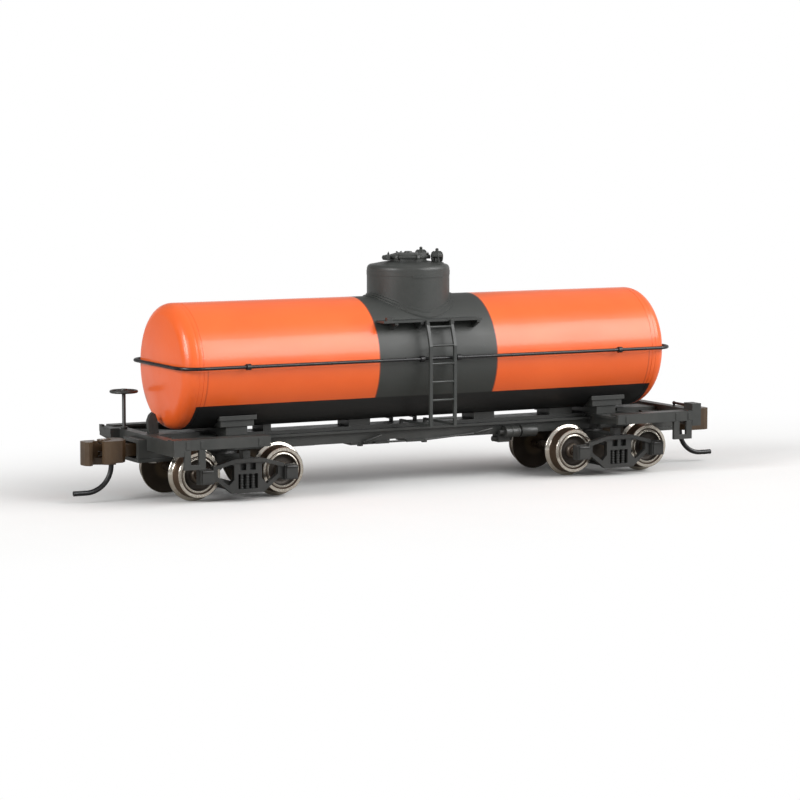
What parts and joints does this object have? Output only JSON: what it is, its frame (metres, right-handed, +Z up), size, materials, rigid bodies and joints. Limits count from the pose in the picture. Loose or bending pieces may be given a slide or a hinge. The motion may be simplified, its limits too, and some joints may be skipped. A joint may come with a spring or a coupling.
{
  "type": "model tank wagon",
  "caption": "Small-scale railway tank wagon with a domed tank on an open underframe, swivelling trucks, turning wheelsets and swinging knuckle couplers.",
  "frame": {"origin": "middle of the wagon, at the level of the wheel flanges' lowest points", "axes": "+X along the track towards the plain end, -X towards the hand brake end, +Z up"},
  "size_m": [0.0858, 0.02, 0.0279],
  "materials": {
    "tank_paint": "satin orange paint, black below the waist",
    "dome_paint": "dark grey moulded plastic, satin",
    "walkway_plastic": "dark grey moulded plastic",
    "black_wire": "blackened wire",
    "frame_plastic": "dark grey moulded plastic",
    "truck_plastic": "dark grey moulded plastic",
    "wheel_metal": "bright nickel",
    "axle_metal": "turned metal",
    "coupler_plastic": "brown moulded plastic",
    "screw_metal": "plain steel",
    "spring_metal": "spring bronze",
    "ballast_metal": "plain metal"
  },
  "bodies": {
    "wagon": {"tank_barrel": "tank_paint", "tank_head_a": "tank_paint", "tank_head_b": "tank_paint", "ballast_weight": "ballast_metal", "dome": "dome_paint", "dome_hatch": "dome_paint", "safety_valves": "dome_paint", "walkway_near": "walkway_plastic", "walkway_far": "walkway_plastic", "ladder_near": "walkway_plastic", "ladder_far": "walkway_plastic", "handrail": "black_wire", "handrail_posts": "black_wire", "underframe": "frame_plastic", "saddle_a": "frame_plastic", "saddle_b": "frame_plastic", "stirrup_steps": "frame_plastic", "grab_irons": "black_wire", "brake_step": "frame_plastic", "brake_staff": "frame_plastic", "brake_wheel": "frame_plastic", "brake_cylinder": "frame_plastic", "air_reservoir": "frame_plastic", "control_valve": "frame_plastic", "brake_rods": "frame_plastic", "truck_pin_a": "truck_plastic", "truck_pin_b": "truck_plastic", "coupler_box_a": "frame_plastic", "coupler_box_b": "frame_plastic", "coupler_lid_a": "frame_plastic", "coupler_lid_b": "frame_plastic", "coupler_screw_a": "screw_metal", "coupler_screw_b": "screw_metal"},
    "truck_a": {"truck_frame_a": "truck_plastic"},
    "truck_b": {"truck_frame_b": "truck_plastic"},
    "wheelset_1": {"axle_1": "axle_metal", "wheels_1": "wheel_metal"},
    "wheelset_2": {"axle_2": "axle_metal", "wheels_2": "wheel_metal"},
    "wheelset_3": {"axle_3": "axle_metal", "wheels_3": "wheel_metal"},
    "wheelset_4": {"axle_4": "axle_metal", "wheels_4": "wheel_metal"},
    "coupler_a": {"coupler_shank_a": "coupler_plastic", "centring_spring_a": "spring_metal", "knuckle_pin_a": "screw_metal"},
    "coupler_b": {"coupler_shank_b": "coupler_plastic", "centring_spring_b": "spring_metal", "knuckle_pin_b": "screw_metal"},
    "knuckle_a": {"knuckle_a": "coupler_plastic", "trip_pin_a": "black_wire"},
    "knuckle_b": {"knuckle_b": "coupler_plastic", "trip_pin_b": "black_wire"}
  },
  "joints": [
    {"name": "truck_a_swivel", "type": "hinge", "parent": "wagon", "child": "truck_a", "pos_m": [0.0247, 0, 0.0052], "axis": [0, 0, 1], "range_deg": [-10, 10]},
    {"name": "truck_b_swivel", "type": "hinge", "parent": "wagon", "child": "truck_b", "pos_m": [-0.0247, 0, 0.0052], "axis": [0, 0, 1], "range_deg": [-10, 10]},
    {"name": "wheelset_1_spin", "type": "hinge", "parent": "truck_b", "child": "wheelset_1", "pos_m": [-0.02994, 0, 0.00312], "axis": [0, 1, 0], "continuous": true},
    {"name": "wheelset_2_spin", "type": "hinge", "parent": "truck_b", "child": "wheelset_2", "pos_m": [-0.01946, 0, 0.00312], "axis": [0, 1, 0], "continuous": true},
    {"name": "wheelset_3_spin", "type": "hinge", "parent": "truck_a", "child": "wheelset_3", "pos_m": [0.01946, 0, 0.00312], "axis": [0, 1, 0], "continuous": true},
    {"name": "wheelset_4_spin", "type": "hinge", "parent": "truck_a", "child": "wheelset_4", "pos_m": [0.02994, 0, 0.00312], "axis": [0, 1, 0], "continuous": true},
    {"name": "coupler_a_swing", "type": "hinge", "parent": "wagon", "child": "coupler_a", "pos_m": [0.033, 0, 0.0058], "axis": [0, 0, 1], "range_deg": [-12, 12]},
    {"name": "knuckle_a_open", "type": "hinge", "parent": "coupler_a", "child": "knuckle_a", "pos_m": [0.03895, -0.00115, 0.0058], "axis": [0, 0, -1], "range_deg": [0, 25]},
    {"name": "coupler_b_swing", "type": "hinge", "parent": "wagon", "child": "coupler_b", "pos_m": [-0.033, 0, 0.0058], "axis": [0, 0, 1], "range_deg": [-12, 12]},
    {"name": "knuckle_b_open", "type": "hinge", "parent": "coupler_b", "child": "knuckle_b", "pos_m": [-0.03895, 0.00115, 0.0058], "axis": [0, 0, -1], "range_deg": [0, 25]}
  ]
}
